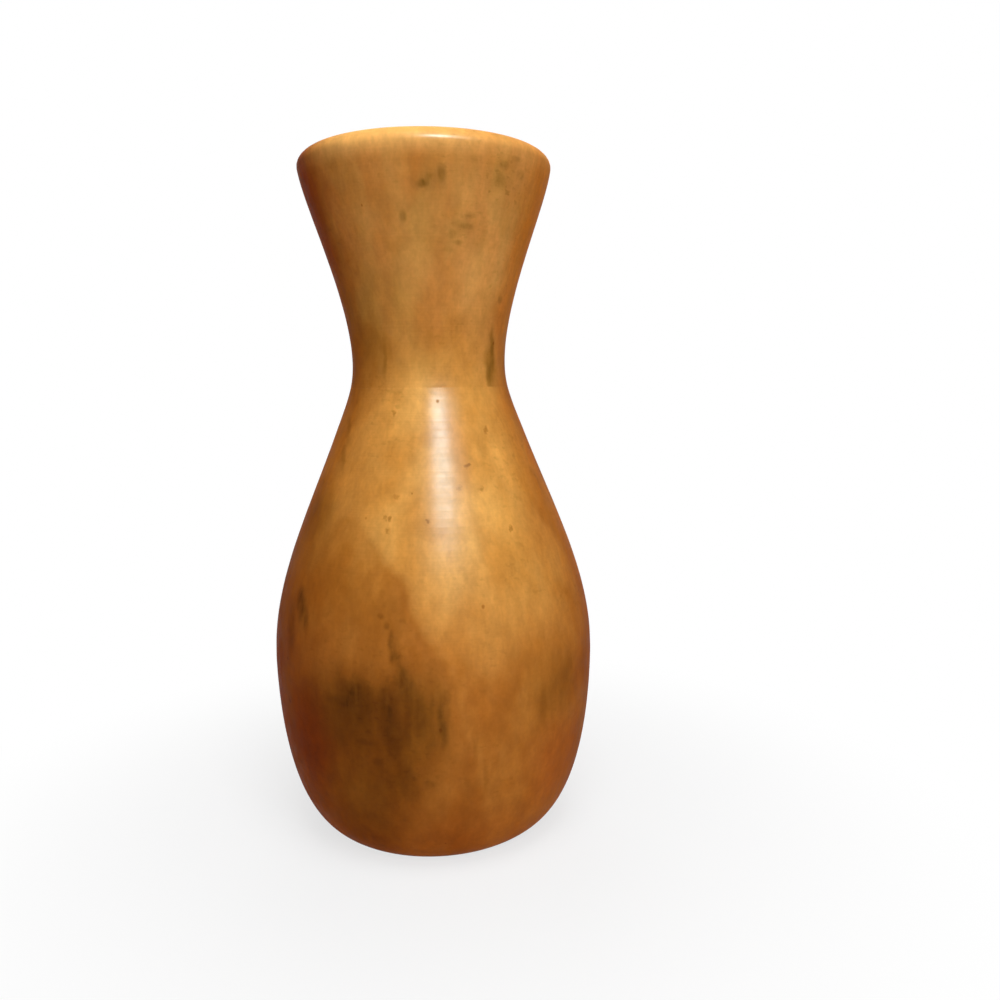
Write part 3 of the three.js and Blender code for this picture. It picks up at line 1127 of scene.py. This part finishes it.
class VASE_OT_draw_liner(Operator):
    """Draw the glass liner"""

    bl_idname = "vase.draw_liner"
    bl_label = "Draw Glass Liner"

    def execute(self, context):
        edge = context.scene.vase_turning.glass_edge
        turn("liner_tube", "glass_liner", "liner_glass", clear_glass("Liner Glass"), edge)
        return {"FINISHED"}


class VASE_OT_set_stage(Operator):
    """Set the camera, the lights, the floor and the white surround"""

    bl_idname = "vase.set_stage"
    bl_label = "Set Stage"

    def execute(self, context):
        stage = context.scene.vase_stage
        place_camera(stage)
        place_lights(stage)
        place_floor()
        light_room(stage)
        context.scene.view_settings.view_transform = "Standard"
        return {"FINISHED"}


# The window is a little cool, and a weaker haze stands beside it
WINDOW_COLOUR = (0.72, 1.0, 1.06)
HAZE_SHARE = 0.1


def place_camera(stage):
    data = bpy.data.cameras.new("Camera")
    data.sensor_width = 36
    data.lens = stage.lens
    camera = bpy.data.objects.new("Camera", data)
    turned = Matrix.Rotation(-stage.turn, 4, "Z")
    tilted = Matrix.Rotation(math.pi / 2 - stage.tilt, 4, "X")
    rolled = Matrix.Rotation(-stage.roll, 4, "Z")
    place = Matrix.Translation((0, -stage.distance, stage.height))
    camera.matrix_world = place @ turned @ tilted @ rolled
    bpy.context.scene.collection.objects.link(camera)
    bpy.context.scene.camera = camera


def lamp(name, place, target, width, height, power):
    """A rectangular soft light at a place, turned to a target."""
    data = bpy.data.lights.new(name, "AREA")
    data.shape = "RECTANGLE"
    data.size = width
    data.size_y = height
    data.energy = power
    light = bpy.data.objects.new(name, data)
    light.location = place
    light.rotation_euler = (Vector(target) - Vector(place)).to_track_quat("-Z", "Y").to_euler()
    bpy.context.scene.collection.objects.link(light)
    return light


def place_lights(stage):
    """Soft lamps in front, overhead and behind, and two that light nothing but draw the highlight."""
    belly = (0, -0.04, 0.165)
    key = lamp("Key", (0.184, -0.85, 0.74), belly, 0.50, 0.26, stage.key_power)
    lamp("Top", (0.07, -0.42, 1.08), (0, 0, 0.17), 0.5, 0.5, stage.top_power)
    back = lamp("Back", (-0.1, 1.3, 0.9), (0, 0.04, 0.15), 0.9, 0.6, stage.back_power)
    for light in (key, back):
        light.visible_glossy = False
    haze_power = stage.window_power * HAZE_SHARE
    window = lamp("Window", (0.17, -0.78, 0.815), belly, 0.30, 0.26, stage.window_power)
    haze = lamp("Window Haze", (0.42, -0.70, 0.77), belly, 0.3, 0.2, haze_power)
    for light in (window, haze):
        light.data.shape = "ELLIPSE"
        light.data.color = WINDOW_COLOUR
        light.visible_diffuse = False


def seen(tree):
    """1 for what the camera sees, also in glass and polish, and 0 for light on the object."""
    path = add(tree, "ShaderNodeLightPath").outputs
    direct = calc(tree, "ADD", path["Is Camera Ray"], path["Is Transmission Ray"], clamp=True)
    return calc(tree, "ADD", direct, path["Is Glossy Ray"], clamp=True)


def place_floor():
    """A wide pale floor whose far part fades into the white surround."""
    half = 4.0
    mesh = bpy.data.meshes.new("Floor")
    corners = [(-half, -half, 0), (half, -half, 0), (half, half, 0), (-half, half, 0)]
    mesh.from_pydata(corners, [], [(0, 1, 2, 3)])
    floor = bpy.data.objects.new("Floor", mesh)
    material, tree, shader = new_material("Pale Floor")
    shader.inputs["Base Color"].default_value = (0.7, 0.7, 0.7, 1)
    shader.inputs["Roughness"].default_value = 0.9
    shader.inputs["Specular IOR Level"].default_value = 0.1
    white = add(tree, "ShaderNodeEmission", {"Color": (1, 1, 1, 1), "Strength": 1.0}).outputs[0]
    here = add(tree, "ShaderNodeTexCoord").outputs["Object"]
    far = ramp(tree, vector(tree, "LENGTH", here), 0.05, 0.26, 0.72, 1.0)
    mix = add(tree, "ShaderNodeMixShader", {0: calc(tree, "MULTIPLY", far, seen(tree))})
    tree.links.new(shader.outputs[0], mix.inputs[1])
    tree.links.new(white, mix.inputs[2])
    output = next(node for node in tree.nodes if node.bl_idname == "ShaderNodeOutputMaterial")
    tree.links.new(mix.outputs[0], output.inputs[0])
    mesh.materials.append(material)
    bpy.context.scene.collection.objects.link(floor)


def light_room(stage):
    """Plain white to the camera and in reflections, and a soft even fill to everything else."""
    world = bpy.data.worlds.new("Room")
    world.use_nodes = True
    tree = world.node_tree
    tree.nodes.clear()
    fill = add(tree, "ShaderNodeBackground", {0: (1, 1, 1, 1), 1: stage.fill}).outputs[0]
    white = add(tree, "ShaderNodeBackground", {0: (1, 1, 1, 1), 1: 1.0}).outputs[0]
    mix = add(tree, "ShaderNodeMixShader", {0: seen(tree), 1: fill, 2: white}).outputs[0]
    add(tree, "ShaderNodeOutputWorld", {0: mix})
    bpy.context.scene.world = world


class VASE_PT_panel(Panel):
    """Lists the steps that make the vase."""

    bl_label = "Turned Wooden Vase"
    bl_idname = "VASE_PT_panel"
    bl_space_type = "VIEW_3D"
    bl_region_type = "UI"
    bl_category = "Vase"

    def draw(self, context):
        layout = self.layout
        for step in STEPS:
            layout.operator(step.bl_idname)
        for group in (context.scene.vase_turning, context.scene.vase_wood, context.scene.vase_stage):
            box = layout.box()
            for name in group.__annotations__:
                box.prop(group, name)


STEPS = (
    VASE_OT_set_stage,
    VASE_OT_turn_bowl,
    VASE_OT_turn_neck,
    VASE_OT_turn_plug,
    VASE_OT_cut_felt,
    VASE_OT_draw_liner,
)
SETTINGS = {"vase_turning": VaseTurning, "vase_wood": VaseWood, "vase_stage": VaseStage}


def register():
    for cls in (*SETTINGS.values(), *STEPS, VASE_PT_panel):
        bpy.utils.register_class(cls)
    for name, cls in SETTINGS.items():
        setattr(bpy.types.Scene, name, PointerProperty(type=cls))


def unregister():
    for name in SETTINGS:
        delattr(bpy.types.Scene, name)
    for cls in reversed((*SETTINGS.values(), *STEPS, VASE_PT_panel)):
        bpy.utils.unregister_class(cls)


def main():
    register()
    bpy.ops.vase.set_stage()
    bpy.ops.vase.turn_bowl()
    bpy.ops.vase.turn_neck()
    bpy.ops.vase.turn_plug()
    bpy.ops.vase.cut_felt()
    bpy.ops.vase.draw_liner()


if __name__ == "__main__":
    main()
